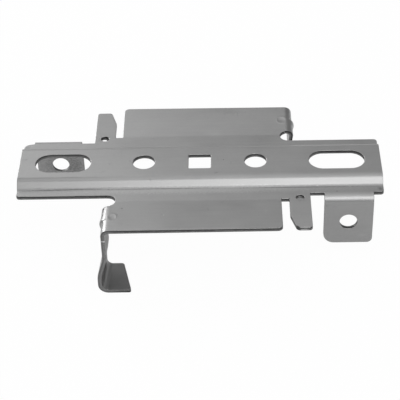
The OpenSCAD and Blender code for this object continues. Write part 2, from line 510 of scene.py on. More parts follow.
    def slant_foot(self, bench: Bench, end: Zone, by: float) -> None:
        """Slants the end of the foot, so that it is longer towards the wing's free edge.

        Args:
            bench: The bench.
            end: Where the end's corners are.
            by: How far the corner at the free edge moves.
        """
        for vertex in bench.corners():
            if end.holds(vertex.co):
                share = (vertex.co.y / MM - self.leg_root) / (self.wing_edge - self.leg_root)
                vertex.co.x += by * share * MM

    def turn_shin(self, bench: Bench) -> None:
        """Turns the lower leg a little about its free edge, as the joggle leaves it."""
        slope = math.tan(math.radians(self.leg_turn))
        high, low = (self.stand - self.joggle_drop - drop for drop in self.turn_drops)
        foot_root, foot_length = 30, 5
        for vertex in bench.corners():
            x, y, z = (value / MM for value in vertex.co)
            if x < foot_root - 0.5 or y < self.leg_root - PLAY or z > high:
                continue
            share = min(1.0, (high - z) / (high - low))
            wall = min(1.0, max(0.0, (x - foot_root) / foot_length))
            inwards = slope * (self.wing_edge - y) * share * share * (3 - 2 * share) * wall
            vertex.co.x -= inwards * MM

    def press_dart(self, bench: Bench) -> None:
        """Moves the face round the leg's fold as the punch of the dart leaves it."""
        outer = self.leg_bend + self.sheet
        quarter = outer * math.pi / 4
        middle = Vector((self.leg_start, 0, self.stand - outer))
        zone = Zone(x=self.dart.reach_x, y=(self.leg_root, self.wing_edge), z=(19, self.stand))
        for vertex in bench.corners():
            if not zone.holds(vertex.co):
                continue
            place = vertex.co / MM
            beyond_x, below_z = place.x - middle.x, middle.z - place.z
            if beyond_x <= 0:
                along, normal = beyond_x - quarter, Vector((0, 0, 1))
            elif below_z >= 0:
                along, normal = below_z + quarter, Vector((1, 0, 0))
            else:
                angle = math.atan2(beyond_x, -below_z)
                along = outer * angle - quarter
                normal = Vector((math.sin(angle), 0, math.cos(angle)))
            vertex.co += normal * self.dart.offset(along, place.y - self.dart.middle_y) * MM

    def match_seam(self, bench: Bench) -> None:
        """Scores the web where the turned copy is scored, so that the halves meet."""
        mesh = bmesh.from_edit_mesh(bench.piece.data)
        on_seam = [vertex.co.x / MM for vertex in mesh.verts if abs(vertex.co.y) < 0.01 * MM]
        places = sorted({round(x, 3) for x in on_seam})
        for x in places:
            if any(abs(x + other) < 0.002 for other in places):
                continue
            bench.pick(Zone(y=(0, self.web_half)))
            bpy.ops.mesh.bisect(plane_co=(-x * MM, 0, 0), plane_no=(1, 0, 0), threshold=HAIR)

    def double_up(self, bench: Bench) -> None:
        """Copies the half, turns the copy half a turn about Z and joins both along the channel."""
        self.match_seam(bench)
        bench.close()
        bench.hold()
        bpy.ops.object.duplicate()
        bpy.ops.transform.rotate(
            value=math.pi, orient_axis="Z", orient_type="GLOBAL", center_override=(0, 0, 0)
        )
        bpy.ops.object.transform_apply(location=True, rotation=True, scale=True)
        bench.piece.select_set(True)
        bpy.context.view_layer.objects.active = bench.piece
        bpy.ops.object.join()
        bench.open()
        bench.weld()
        bench.close()

    def give_wall(self, bench: Bench) -> None:
        """Gives the sheet its wall, on the inner side of the laid-out face."""
        bench.finish_with(
            "wall",
            "SOLIDIFY",
            thickness=self.sheet * MM,
            offset=-1,
            use_even_offset=True,
            use_rim=True,
            material_offset_rim=Slot.SHEARED.value,
            material_offset=Slot.INNER.value,
        )

    def wear_corner(self, bench: Bench) -> None:
        """Sets back the flange's edge at one end, where the corner is worn dull."""
        edge = (self.flange, self.flange)
        flat = self.flat_heights
        bench.open()
        bench.pick(
            Zone(x=(-self.half_length, -self.ear[1]), y=edge, z=flat),
            test=lambda a, b: abs(a.x - b.x) > 1e-4,
        )
        bpy.ops.mesh.subdivide(number_cuts=1)
        end_back, middle_back = self.dull_corner_set_back
        middle = -(self.half_length + self.ear[1]) / 2
        for x, back in ((-self.half_length, end_back), (middle, middle_back)):
            found = bench.pick(Zone(x=(x, x), y=edge, z=flat))
            log.info("worn corner at %.1f: %d", x, found)
            bench.shift((0, -back, 0))
        bench.close()

    def cutter(
        self,
        name: str,
        size: tuple[float, float, float],
        place: tuple[float, float, float],
        corner: float,
        floor: Slot = Slot.SHEARED,
    ) -> bpy.types.Object:
        """Makes a punch for one hole.

        Args:
            name: Name of the punch.
            size: Its sides along X, Y and Z.
            place: Its middle.
            corner: Radius of its corners as seen along Z.
            floor: The slot of the face that it leaves below.

        Returns:
            The punch, with the sheared slot on its sides.
        """
        bpy.ops.object.select_all(action="DESELECT")
        bpy.ops.mesh.primitive_cube_add(size=1, location=(0, 0, 0))
        bench = Bench(bpy.context.object)
        bench.piece.name = name
        for material in self.materials:
            bench.piece.data.materials.append(material)
        bench.open()
        bpy.ops.mesh.select_all(action="SELECT")
        bpy.ops.transform.resize(value=Vector(size) * MM)
        bench.shift(place)
        half_x, half_y = size[0] / 2, size[1] / 2
        corners = [
            Zone(x=(place[0] + a * half_x,) * 2, y=(place[1] + b * half_y,) * 2)
            for a in (-1, 1)
            for b in (-1, 1)
        ]
        bench.pick(*corners)
        steps = max(4, round(corner * self.steps_per_mm))
        almost = min(corner, half_x, half_y) * self.just_short
        bpy.ops.mesh.bevel(offset=almost * MM, segments=steps, profile=0.5, affect="EDGES")
        bench.close()
        for face in bench.piece.data.polygons:
            face.material_index = (floor if face.normal.z < -0.9 else Slot.SHEARED).value
        return bench.piece

    def punch(self, bench: Bench, tool: bpy.types.Object, operation: str = "DIFFERENCE") -> None:
        """Drives a punch through the sheet, or joins a slug to it, and puts the tool away.

        Args:
            bench: The bench with the sheet.
            tool: The punch or slug.
            operation: DIFFERENCE for a punch, UNION for a slug.
        """
        bench.finish_with(tool.name, "BOOLEAN", object=tool, operation=operation, solver="EXACT")
        bpy.data.objects.remove(tool, do_unlink=True)

    def pierce(self, bench: Bench) -> None:
        """Pierces the channel's holes, the relief notches, the pilot hole and the ears."""
        tall, deep = 12.0, 8.0
        middle_z = self.stand + 1
        square_size = (self.square, self.square, tall)
        square = self.cutter("punch_square", square_size, (0, 0, middle_z), self.square_corner)
        self.punch(bench, square)
        notch = self.leg_root - self.flange
        notch_width = notch - self.notch_play
        notch_x = self.notch_tip + notch / 2
        notch_y = (self.leg_root + self.flange) / 2
        for side in (-1, 1):
            notch_place = (side * notch_x, side * notch_y)
            for name, size, place, height in (
                ("punch_slot", (self.slot_length, self.slot_width), (side * self.slot_x, 0), tall),
                ("punch_hole", (self.hole_width,) * 2, (side * self.hole_x, 0), tall),
                ("punch_notch", (notch_width,) * 2, notch_place, deep),
            ):
                tool = self.cutter(name, (*size, height), (*place, middle_z), min(size) / 2)
                self.punch(bench, tool)
            self.pierce_ear(bench, side, deep)
        self.pierce_pilots(bench)

    def pierce_ear(self, bench: Bench, side: int, deep: float) -> None:
        """Pierces one ear.

        Args:
            bench: The bench with the sheet.
            side: 1 for the back ear, -1 for the front one.
            deep: Length of the punch.
        """
        width = self.ear_hole_width
        tool = self.cutter("punch_ear", (width, width, deep), (0, 0, 0), width / 2)
        tool_bench = Bench(tool)
        tool_bench.open()
        bpy.ops.mesh.select_all(action="SELECT")
        bpy.ops.transform.rotate(
            value=math.pi / 2, orient_axis="X", orient_type="GLOBAL", center_override=(0, 0, 0)
        )
        x, drop = self.ear_hole
        tool_bench.shift((-side * x, side * (self.ear_face - self.sheet / 2), self.stand - drop))
        tool_bench.close()
        self.punch(bench, tool)

    def pierce_pilots(self, bench: Bench) -> None:
        """Pierces the back finger's pilot hole and shears the front one's slug half out."""
        x, y = self.pilot
        width, corner = (self.pilot_width,) * 2, self.pilot_width / 2
        tall = 4 * self.sheet
        tool = self.cutter("punch_pilot", (*width, tall), (-x, y, self.stand), corner)
        tool_bench = Bench(tool)
        tool_bench.open()
        for end in (-1, 1):
            rim_z = self.stand + end * tall / 2
            size = 1 + 2 * end * (1 - self.pilot_taper)
            tool_bench.pick(Zone(z=(rim_z, rim_z)))
            middle = Vector((-x, y, rim_z)) * MM
            bpy.ops.transform.resize(value=(size, size, 1), center_override=middle)
            tool_bench.shift((2 * end * self.pilot_lean, 0, 0))
        tool_bench.close()
        self.punch(bench, tool)
        floor_z = self.stand - self.pip_depth
        slug_place = (x, -y, floor_z - self.sheet / 2)
        slug = self.cutter("slug", (*width, self.sheet), slug_place, corner, Slot.INNER)
        self.punch(bench, slug, "UNION")
        pip = self.cutter("punch_pip", (*width, 2.0), (x, -y, floor_z + 1), corner, Slot.OUTER)
        self.punch(bench, pip)

    def corner_zones(self, points: list[tuple[float, float]], z: tuple[float, float]) -> list[Zone]:
        """Zones round plan corners and their half-turn twins.

        Args:
            points: Plan corners of the back half.
            z: Heights that the corners lie between.

        Returns:
            One zone for each corner and each twin.
        """
        return [
            Zone(x=(side * px,) * 2, y=(side * py,) * 2, z=z, slack=0.05)
            for px, py in points
            for side in (-1, 1)
        ]

    def round_corners(self, bench: Bench) -> None:
        """Rounds every corner of the sheet's outline with its own radius."""
        flat = self.flat_heights
        across, _ = self.lead_in
        tip_x, root = -self.finger_near - across, self.gap_root
        tip = [(tip_x, self.finger_tip), (-self.finger_far, self.finger_tip)]
        gap = [(-self.finger_near, root), (-self.wing_side, root)]
        corners = [
            ([(self.half_length, self.flange)], self.flange_corner, self.corner_steps),
            ([(-self.wing_side, self.wing_edge)], self.wing_corner, self.corner_steps),
            (gap, self.gap_corner, 3),
            (tip, self.finger_corner, self.corner_steps),
        ]
        bench.open()
        for points, radius, steps in corners:
            found = bench.pick(*self.corner_zones(points, flat))
            log.info("corners of %.1f mm: %d", radius, found)
            bench.round_off(radius, steps)
        end_y = self.flange - self.dull_corner_set_back[0]
        bench.pick(Zone(x=(-self.half_length,) * 2, y=(end_y,) * 2, z=flat, slack=0.05))
        bench.round_off(self.dull_corner, self.large_corner_steps)
        bench.pick(Zone(x=(self.half_length,) * 2, y=(-self.flange,) * 2, z=flat, slack=0.05))
        bench.round_off(self.flange_corner, self.corner_steps)
        ear_bottom = self.stand - self.ear_drop
        for ear_x, radius in zip(self.ear, self.ear_corners):
            zones = [
                Zone(
                    x=(-side * ear_x,) * 2,
                    y=tuple(sorted((side * self.ear_face, side * (self.ear_face - self.sheet)))),
                    z=(ear_bottom, ear_bottom),
                )
                for side in (-1, 1)
            ]
            found = bench.pick(*zones, test=lambda a, b: abs(a.x - b.x) < 1e-5)
            log.info("ear corners of %.1f mm: %d", radius, found)
            bench.round_off(radius, self.large_corner_steps)
        ends = list(zip(self.foot_ends, (self.leg_root, self.wing_edge)))
        found = bench.pick(*self.corner_zones(ends, (0, self.sheet)))
        log.info("foot corners: %d", found)
        bench.round_off(self.foot_corner, self.corner_steps)
        bench.close()

    def lift_wings(self, bench: Bench) -> None:
        """Sets both wings up a little past their creases, and lets the legs take up the slope."""
        slope = math.tan(math.radians(self.lift))
        soft = self.crease_softness
        for vertex in bench.piece.data.vertices:
            side = 1 if vertex.co.y > 0 else -1
            x, y, z = side * vertex.co.x / MM, side * vertex.co.y / MM, vertex.co.z / MM
            if x < -self.wing_side - 0.3 or y < self.crease - soft:
                continue
            past = y - self.crease
            rise = slope * (past if past > soft else (past + soft) ** 2 / (4 * soft))
            along = (self.leg_start - x) / (self.leg_start + self.wing_side)
            towards_corner = min(1.0, max(0.0, along))
            wing = self.wing_edge - self.crease
            rise += self.corner_lift * towards_corner * max(0.0, past) / wing
            low, high = self.stand - self.joggle_drop, self.stand - 5
            share = min(1.0, max(0.0, (z - low) / (high - low)))
            vertex.co.z += rise * share * MM

    def spring_back_leg(self, bench: Bench) -> None:
        """Lets the back leg's fold stand out a little further than the front one's."""
        low, high = self.stand - self.joggle_drop - 6, self.stand - self.joggle_drop
        fold_start, fold_length = 30, 4.5
        for vertex in bench.piece.data.vertices:
            x, y, z = (value / MM for value in vertex.co)
            if y < self.leg_root - PLAY or x < fold_start or z < low:
                continue
            over = min(1.0, (x - fold_start) / fold_length)
            down = min(1.0, (z - low) / (high - low))
            vertex.co.x += self.back_leg_out * over * over * (3 - 2 * over) * down * MM

    def rub_foot_edges(self, bench: Bench) -> None:
        """Rounds the upper edge of each foot on the wing's free side, as the burr is rubbed off."""
        bench.open()
        heights = (self.sheet - PLAY, self.rubbed_height)
        near, far = self.rubbed_reach
        zone = Zone(x=(near, far), y=(self.wing_edge,) * 2, z=heights)
        twin = Zone(x=(-far, -near), y=(-self.wing_edge,) * 2, z=heights)
        found = bench.pick(zone, twin, test=lambda a, b: abs(a.x - b.x) > abs(a.z - b.z))
        log.info("edges rubbed round on the feet: %d", found)
        bench.round_off(self.foot_edge, 2, Slot.INNER)
        bench.close()

    def mark_thickness(self, bench: Bench) -> None:
        """Stores how deep each vertex lies in the wall: 0 on the outer face, 1 on the inner."""
        mesh = bench.piece.data
        depth = mesh.attributes.new("wall_depth", "FLOAT", "POINT")
        inner = set()
        for face in mesh.polygons:
            if face.material_index == Slot.INNER.value:
                inner.update(face.vertices)
        for i in range(len(mesh.vertices)):
            depth.data[i].value = 1.0 if i in inner else 0.0

    def soften_edges(self, bench: Bench) -> None:
        """Breaks the cut edges slightly and smooths the shading over bends and edges."""
        mesh = bmesh.new()
        mesh.from_mesh(bench.piece.data)
        weight = mesh.edges.layers.float.new("bevel_weight_edge")
        for edge in mesh.edges:
            cut = any(face.material_index == Slot.SHEARED.value for face in edge.link_faces)
            edge[weight] = 1.0 if cut and edge.calc_face_angle(0.0) > self.sharp_turn else 0.0
        mesh.to_mesh(bench.piece.data)
        mesh.free()
        bench.finish_with(
            "edge_break",
            "BEVEL",
            width=self.edge_softness * MM,
            segments=self.edge_steps,
            limit_method="WEIGHT",
            use_clamp_overlap=False,
        )
        bpy.ops.object.shade_smooth_by_angle(angle=self.smooth_turn)
        bench.finish_with("face_weight", "WEIGHTED_NORMAL", keep_sharp=True, weight=60)

    def mark_sharpness(self, bench: Bench) -> None:
        """Stores how sharply the surface turns at each vertex, for the wear and painted highlight
        along edges.
        """
        mesh = bmesh.new()
        mesh.from_mesh(bench.piece.data)
        sharpness = bench.piece.data.attributes.new("edge_sharpness", "FLOAT", "POINT")
        for vertex in mesh.verts:
            turns = (edge.calc_face_angle_signed(0.0) for edge in vertex.link_edges)
            turn = max(turns, default=0.0)
            if any(face.calc_area() > MM * MM for face in vertex.link_faces):
                turn = 0.0
            share = (turn - self.wear_and_highlight_turn) / self.wear_and_highlight_range
            sharpness.data[vertex.index].value = min(1.0, max(0.0, share))
        mesh.free()

    def build(self, materials: list[bpy.types.Material]) -> bpy.types.Object:
        """Makes the whole piece.

        Args:
            materials: The materials of the three slots.

        Returns:
            The finished bracket.
        """
        self.materials = materials
        bench = self.lay_out_channel()
        self.fold_ear(bench)
        self.lay_out_finger_and_wing(bench)
        self.fold_leg(bench)
        self.turn_shin(bench)
        self.press_dart(bench)
        self.double_up(bench)
        for material in materials:
            bench.piece.data.materials.append(material)
        self.give_wall(bench)
        self.wear_corner(bench)
        self.pierce(bench)
        self.round_corners(bench)
        self.lift_wings(bench)
        self.spring_back_leg(bench)
        self.mark_thickness(bench)
        self.rub_foot_edges(bench)
        self.soften_edges(bench)
        self.mark_sharpness(bench)
        return bench.piece


Feed = bpy.types.NodeSocket | float | tuple[float, ...]


class Circuit:
    """A node tree that is wired up node by node."""

    def __init__(self, tree: bpy.types.NodeTree) -> None:
        """Takes the tree that the nodes go into."""
        self.tree = tree

    def node(
        self, kind: str, feeds: dict[str | int, Feed] | None = None, **settings: object
    ) -> bpy.types.Node:
        """Adds a node.

        Args:
            kind: Blender's type name of the node.
            feeds: What goes into its inputs: a value, or another node's output.
            settings: Its settings.

        Returns:
            The new node.
        """
        node = self.tree.nodes.new(kind)
        for key, value in settings.items():
            setattr(node, key, value)
        for key, value in (feeds or {}).items():
            if isinstance(value, bpy.types.NodeSocket):
                self.tree.links.new(value, node.inputs[key])
            else:
                node.inputs[key].default_value = value
        return node

    def math(self, operation: str, a: Feed, b: Feed = 0.0) -> bpy.types.NodeSocket:
        """Adds a sum on two numbers and returns its result."""
        return self.node("ShaderNodeMath", {0: a, 1: b}, operation=operation).outputs[0]

    def sway(self, value: Feed, share: float) -> bpy.types.NodeSocket:
        """Turns a value between 0 and 1 into a factor that sways round 1.

        Args:
            value: The value.
            share: How far the factor sways in all.

        Returns:
            The factor.
        """
        feeds = {0: value, 3: 1 - share / 2, 4: 1 + share / 2}
        return self.node("ShaderNodeMapRange", feeds).outputs[0]

    def step(self, value: Feed, low: float, high: float) -> bpy.types.NodeSocket:
        """Turns a value into a soft step.

        Args:
            value: The value.
            low: Where the step starts.
            high: Where it ends.

        Returns:
            A value that goes from 0 to 1.
        """
        feeds = {0: value, 1: low, 2: high}
        return self.node("ShaderNodeMapRange", feeds, interpolation_type="SMOOTHSTEP").outputs[0]

    def blend(self, factor: Feed, a: Feed, b: Feed) -> bpy.types.NodeSocket:
        """Blends two numbers.

        Args:
            factor: 0 for the first, 1 for the second.
            a: The first number.
            b: The second number.

        Returns:
            The blend.
        """
        return self.node("ShaderNodeMix", {0: factor, 2: a, 3: b}).outputs[0]

    def scale(self, vector: Feed, factor: Feed) -> bpy.types.NodeSocket:
        """Scales a vector or a colour and returns the result."""
        feeds = {0: vector, "Scale": factor}
        return self.node("ShaderNodeVectorMath", feeds, operation="SCALE").outputs[0]

    def give(self, node: bpy.types.Node, feeds: dict[str, bpy.types.NodeSocket]) -> None:
        """Links results to the named inputs of a node."""
        for label, result in feeds.items():
            self.tree.links.new(result, node.inputs[label])


VALUE = "NodeSocketFloat"
VECTOR = "NodeSocketVector"


class Effects:
    """The effects that the finishes share, each a node group that is built once."""

    def __init__(self) -> None:
        """Builds the groups."""
        self.sheet_grain = self.make_sheet_grain()
        self.mark = self.make_mark()
        self.wear_and_edge_highlight = self.make_wear_and_edge_highlight()

    def group(
        self, name: str, takes: dict[str, str], gives: tuple[str, ...]
    ) -> tuple[Circuit, bpy.types.bpy_prop_collection, bpy.types.Node]:
        """Starts a node group.

        Args:
            name: Its name.
            takes: Its inputs, each with its socket's type name.
            gives: The names of its outputs, all of them values.

        Returns:
            Its circuit, what its input node puts out, and its output node.
        """
        tree = bpy.data.node_groups.new(name, "ShaderNodeTree")
        for label, kind in takes.items():
            tree.interface.new_socket(label, in_out="INPUT", socket_type=kind)
        for label in gives:
            tree.interface.new_socket(label, in_out="OUTPUT", socket_type=VALUE)
        circuit = Circuit(tree)
        return circuit, circuit.node("NodeGroupInput").outputs, circuit.node("NodeGroupOutput")

    def make_sheet_grain(self) -> bpy.types.NodeTree:
        """Builds the look of rolled sheet: soft patches, streaks along X and a fine grain."""
        takes = {"Place": VECTOR, "Patch Width": VALUE, "Grain Width": VALUE}
        gives = ("Patches", "Streaks", "Grain")
        circuit, start, end = self.group("sheet_grain", takes, gives)
        place = circuit.scale(start["Place"], 1 / MM)
        for label, stretch, width, detail in (
            ("Patches", (0.8, 1.0, 1.0), start["Patch Width"], 4.0),
            ("Streaks", (0.05, 1.1, 1.1), 1.0, 3.0),
            ("Grain", (0.7, 1.2, 1.2), start["Grain Width"], 2.0),
        ):
            laid = circuit.node("ShaderNodeVectorMath", {0: place, 1: stretch}, operation="MULTIPLY")
            rate = circuit.math("DIVIDE", 1.0, width)
            feeds = {"Vector": laid.outputs[0], "Scale": rate, "Detail": detail}
            noise = circuit.node("ShaderNodeTexNoise", feeds)
            level = circuit.node("ShaderNodeMapRange", {0: noise.outputs[0], 1: 0.25, 2: 0.75})
            circuit.give(end, {label: level.outputs[0]})
        return circuit.tree

    def make_mark(self) -> bpy.types.NodeTree:
        """Builds the mask of one mark: an oval spot at a place, with a ragged outline."""
        vectors = dict.fromkeys(("Place", "Middle", "Half Size", "Turn"), VECTOR)
        circuit, start, end = self.group("mark", {**vectors, "Raggedness": VALUE}, ("Mask",))
        feeds = {
            "Vector": circuit.scale(start["Place"], 1 / MM),
            "Location": start["Middle"],
            "Rotation": start["Turn"],
            "Scale": start["Half Size"],
        }
        local = circuit.node("ShaderNodeMapping", feeds, vector_type="TEXTURE").outputs[0]
        far = circuit.node("ShaderNodeVectorMath", {0: local}, operation="LENGTH").outputs["Value"]
        ragged = circuit.math("ADD", far, circuit.math("SUBTRACT", start["Raggedness"], 0.3))
        circuit.give(end, {"Mask": circuit.step(ragged, 1.15, 0.35)})
        return circuit.tree

    def make_wear_and_edge_highlight(self) -> bpy.types.NodeTree:
        """Builds the mask of lighter edges, wear and painted highlight, from the stored sharpness,
        broken up by the grain.
        """
        takes = {"Sharpness": VALUE, "Grain": VALUE}
        circuit, start, end = self.group("wear_and_edge_highlight", takes, ("Rubbed",))
        edge = circuit.step(start["Sharpness"], 0.3, 0.9)
        broken = circuit.step(start["Grain"], 0.15, 0.6)
        circuit.give(end, {"Rubbed": circuit.math("MULTIPLY", edge, broken)})
        return circuit.tree


@dataclass(frozen=True)
class Mark:
    """One mark on the bracket, in millimetres.

    Its tone is the factor on the colour, and its lift is how far the surface stands up there.
    """

    middle: tuple[float, float, float]
    half: tuple[float, float, float]
    turn: float = 0.0
    tone: float = 0.8
    lift: float = 0.0


@dataclass(frozen=True)
class SheetMarks:
    """The stains, scuffs and small dents on the bracket's outer faces, painted shade and highlight
    at the front crease, and painted shade on two inner faces.
    """

    channel: tuple[Mark, ...] = (
        Mark((9.0, 0.8, 32.1), (0.35, 0.55, 1), tone=0.62, lift=-0.03),
        Mark((11.8, -1.4, 32.1), (0.25, 1.6, 1), 0.05, 0.9),
        Mark((6.8, 1.6, 32.1), (0.25, 1.7, 1), 0.0, 0.93),
        Mark((6.2, -7.2, 32.1), (0.9, 0.6, 1), 0.4, 0.86),
        Mark((-26.3, 0.8, 32.1), (0.6, 0.7, 1), 0.3, 0.84),
        Mark((-33.8, -0.9, 32.1), (0.9, 1.7, 1), -0.7, 0.93),
        Mark((-36.1, -5.5, 32.1), (1.8, 0.8, 1), 0.5, 0.93),
        Mark((-66.0, 2.6, 32.1), (1.2, 0.9, 1), 0.0, 0.85),
        Mark((-67.9, -5.4, 31.5), (0.5, 0.9, 1.2), 0.0, 0.7, -0.06),
        Mark((-18.4, -9.6, 30.6), (0.3, 1.5, 1.6), 0.1, 0.84, -0.03),
        Mark((-16.8, -9.5, 30.6), (0.22, 1.3, 1.6), 0.1, 0.88, -0.02),
        Mark((-14.2, -9.2, 30.6), (0.2, 1.2, 1.6), 0.1, 0.9, -0.02),
        Mark((-13.5, -9.2, 30.6), (0.2, 1.0, 1.6), 0.1, 0.92, -0.02),
        Mark((-60.1, -8.6, 31.0), (3.0, 0.3, 1.2), 0.0, 1.1),
        Mark((-60.0, -12.0, 29.2), (2.2, 0.35, 1), 0.0, 0.86),
    )
    # painted light along the front crease, where the sloping wall meets the flange: a wide band
    # painted lighter as a painted highlight, and thin dark lines as painted shade in the crease; the
    # hidden back crease gets none
    crease: tuple[Mark, ...] = (
        Mark((0.0, -13.6, 29.3), (78, 3.0, 1), tone=1.28),
        Mark((-50.0, -12.65, 29.3), (20, 0.44, 0.9), 0.012, 0.5),
        Mark((-14.0, -12.75, 29.3), (34, 0.42, 0.9), 0.0, 0.6),
        Mark((38.0, -12.95, 29.3), (36, 0.44, 0.9), 0.0, 0.58),
    )
    flange: tuple[Mark, ...] = (
        Mark((30.6, -12.1, 29.2), (0.5, 0.3, 1), tone=1.35),
        Mark((43.7, -12.4, 29.2), (0.5, 0.3, 1), tone=1.35),
        Mark((55.6, -12.9, 29.2), (0.6, 0.35, 1), tone=1.35),
        Mark((50.7, -15.6, 29.2), (0.45, 0.45, 1), tone=0.6),
        Mark((66.9, -14.4, 29.2), (1.1, 1.6, 1), 0.4, 0.72, -0.05),
        Mark((-66.6, 13.6, 29.2), (1.4, 1.6, 1), 0.0, 0.88),
    )
    wings: tuple[Mark, ...] = (
        Mark((-28.2, -24.2, 29.4), (0.42, 0.6, 1), tone=0.66, lift=-0.03),
        Mark((-12.8, -28.5, 29.6), (0.4, 0.5, 1), tone=1.2, lift=0.04),
        Mark((-13.6, -28.0, 29.6), (0.7, 0.9, 1), tone=0.92),
        Mark((3.2, -25.3, 29.4), (0.3, 1.1, 1), 0.1, 0.86),
        Mark((-18.8, -15.6, 29.2), (0.5, 0.4, 1), tone=1.18),
        Mark((8.5, -21.1, 29.2), (0.8, 0.8, 1), tone=0.93),
        Mark((24.2, -27.0, 29.5), (1.2, 1.4, 1), tone=1.05),
        Mark((-24.0, -20.0, 29.2), (3.4, 0.4, 1), tone=0.94),
        Mark((-28.0, -33.6, 29.8), (1.6, 0.7, 1), tone=0.95),
        Mark((12.5, 34.8, 29.9), (6.5, 2.2, 1.5), tone=0.94),
        Mark((14.6, 33.4, 29.9), (0.5, 2.6, 1.5), tone=0.94),
        Mark((4.6, 21.5, 29.2), (6.5, 2.6, 1.5), -0.25, 1.05),
        Mark((-18.3, 18.6, 29.2), (2.2, 0.5, 1), tone=0.94),
        Mark((-31.3, -28.6, 29.6), (0.9, 1.1, 1), tone=0.88),
        Mark((-29.9, -28.2, 29.6), (0.35, 1.3, 1), -0.3, 0.84),
        Mark((-31.3, -31.3, 29.7), (1.5, 0.35, 1), 0.2, 0.86),
    )
    fingers: tuple[Mark, ...] = (
        Mark((-37.5, 34.4, 29.9), (0.5, 0.7, 1), tone=0.8),
        Mark((-34.9, 32.8, 29.8), (0.5, 0.9, 1), 0.3, 0.72),
        Mark((-34.1, 31.2, 29.7), (0.45, 0.8, 1), 0.3, 0.75),
        Mark((-38.4, 28.1, 29.6), (0.35, 0.5, 1), tone=0.82),
        Mark((-38.3, 26.4, 29.5), (0.35, 0.5, 1), tone=1.16),
        Mark((-37.0, 19.0, 29.2), (2.6, 2.8, 1), tone=1.09, lift=-0.05),
        Mark((37.0, -19.0, 29.2), (2.4, 2.6, 0.5), tone=1.06, lift=-0.05),
    )
    ears: tuple[Mark, ...] = (
        Mark((60.4, -19.4, 11.0), (2.2, 1.0, 1.2), tone=1.08),
        Mark((46.9, -19.4, 25.3), (0.9, 1.0, 0.7), tone=0.88),
        Mark((49.9, -19.4, 24.8), (1.5, 1.0, 0.35), tone=0.93),
        Mark((52.6, -19.4, 25.4), (1.8, 1.0, 0.3), tone=0.94),
    )
    # painted shade: the back ear's inner face and the front leg's inner face are darkened, for the
    # shadowed floor under the bracket that they mirror
    inner: tuple[Mark, ...] = (
        Mark((-55.0, 17.9, 17.5), (12, 1.4, 10), tone=0.7),
        Mark((-49.0, 17.9, 17.5), (4.5, 1.2, 8), tone=0.84),
        Mark((-35.5, -32.0, 20.5), (3, 9, 8), tone=0.6),
    )
    cut: tuple[Mark, ...] = (
        Mark((-34.8, -37.5, 24.9), (1.3, 0.6, 0.28), 0.0, 3.0),
        Mark((37.8, -36.1, 28.4), (1.6, 0.5, 0.35), 0.0, 2.4),
    )

    def all(self) -> tuple[Mark, ...]:
        """Returns the marks of the outer skin; the inner and cut marks are left out."""
        return self.channel + self.crease + self.flange + self.wings + self.fingers + self.ears


class Metal:
    """A bare metal material with the shared effects already wired in."""

    def __init__(self, name: str, effects: Effects, patch_width: float, grain_width: float) -> None:
        """Starts the material.

        Args:
            name: Its name.
            effects: The shared effects.
            patch_width: Width of its soft patches in millimetres.
            grain_width: Width of its grain in millimetres.
        """
        self.material = bpy.data.materials.new(name)
        self.material.use_nodes = True
        self.effects = effects
        self.circuit = Circuit(self.material.node_tree)
        self.place = self.circuit.node("ShaderNodeTexCoord").outputs["Object"]
        feeds = {"Place": self.place, "Patch Width": patch_width, "Grain Width": grain_width}
        self.grain = self.effect(effects.sheet_grain, feeds)
        # the mask of sharp edges, made lighter as wear and as a painted highlight
        worn = {"Sharpness": self.stored("edge_sharpness"), "Grain": self.grain["Grain"]}
        self.rubbed = self.effect(effects.wear_and_edge_highlight, worn)["Rubbed"]

    def effect(
        self, group: bpy.types.NodeTree, feeds: dict[str, Feed]
    ) -> bpy.types.bpy_prop_collection:
        """Adds one of the shared effects and returns what it puts out."""
        return self.circuit.node("ShaderNodeGroup", feeds, node_tree=group).outputs

    def stored(self, name: str) -> bpy.types.NodeSocket:
        """Returns a value that is stored on the mesh."""
        return self.circuit.node("ShaderNodeAttribute", attribute_name=name).outputs["Fac"]

    def spot(self, mark: Mark, raggedness: Feed = 0.0) -> bpy.types.NodeSocket:
        """Adds the mask of one mark.

        Args:
            mark: The mark.
            raggedness: What breaks up its outline.

        Returns:
            The mask, 1 inside the mark.
        """
        feeds = {
            "Place": self.place,
            "Middle": mark.middle,
            "Half Size": mark.half,
            "Turn": (0.0, 0.0, mark.turn),
            "Raggedness": raggedness,
        }
        return self.effect(self.effects.mark, feeds)["Mask"]

    def finish(
        self, colour: bpy.types.NodeSocket, roughness: bpy.types.NodeSocket, height: Feed
    ) -> bpy.types.Material:
        """Wires the results to the shader.

        Args:
            colour: The colour.
            roughness: The roughness.
            height: How far the surface stands up, in millimetres.

        Returns:
            The finished material.
        """
        shader = self.circuit.tree.nodes["Principled BSDF"]
        shader.inputs["Metallic"].default_value = 1.0
        feeds = {"Height": height, "Distance": MM, "Strength": 1.0}
        bump = self.circuit.node("ShaderNodeBump", feeds)
        results = {"Base Color": colour, "Roughness": roughness, "Normal": bump.outputs[0]}
        self.circuit.give(shader, results)
        return self.material


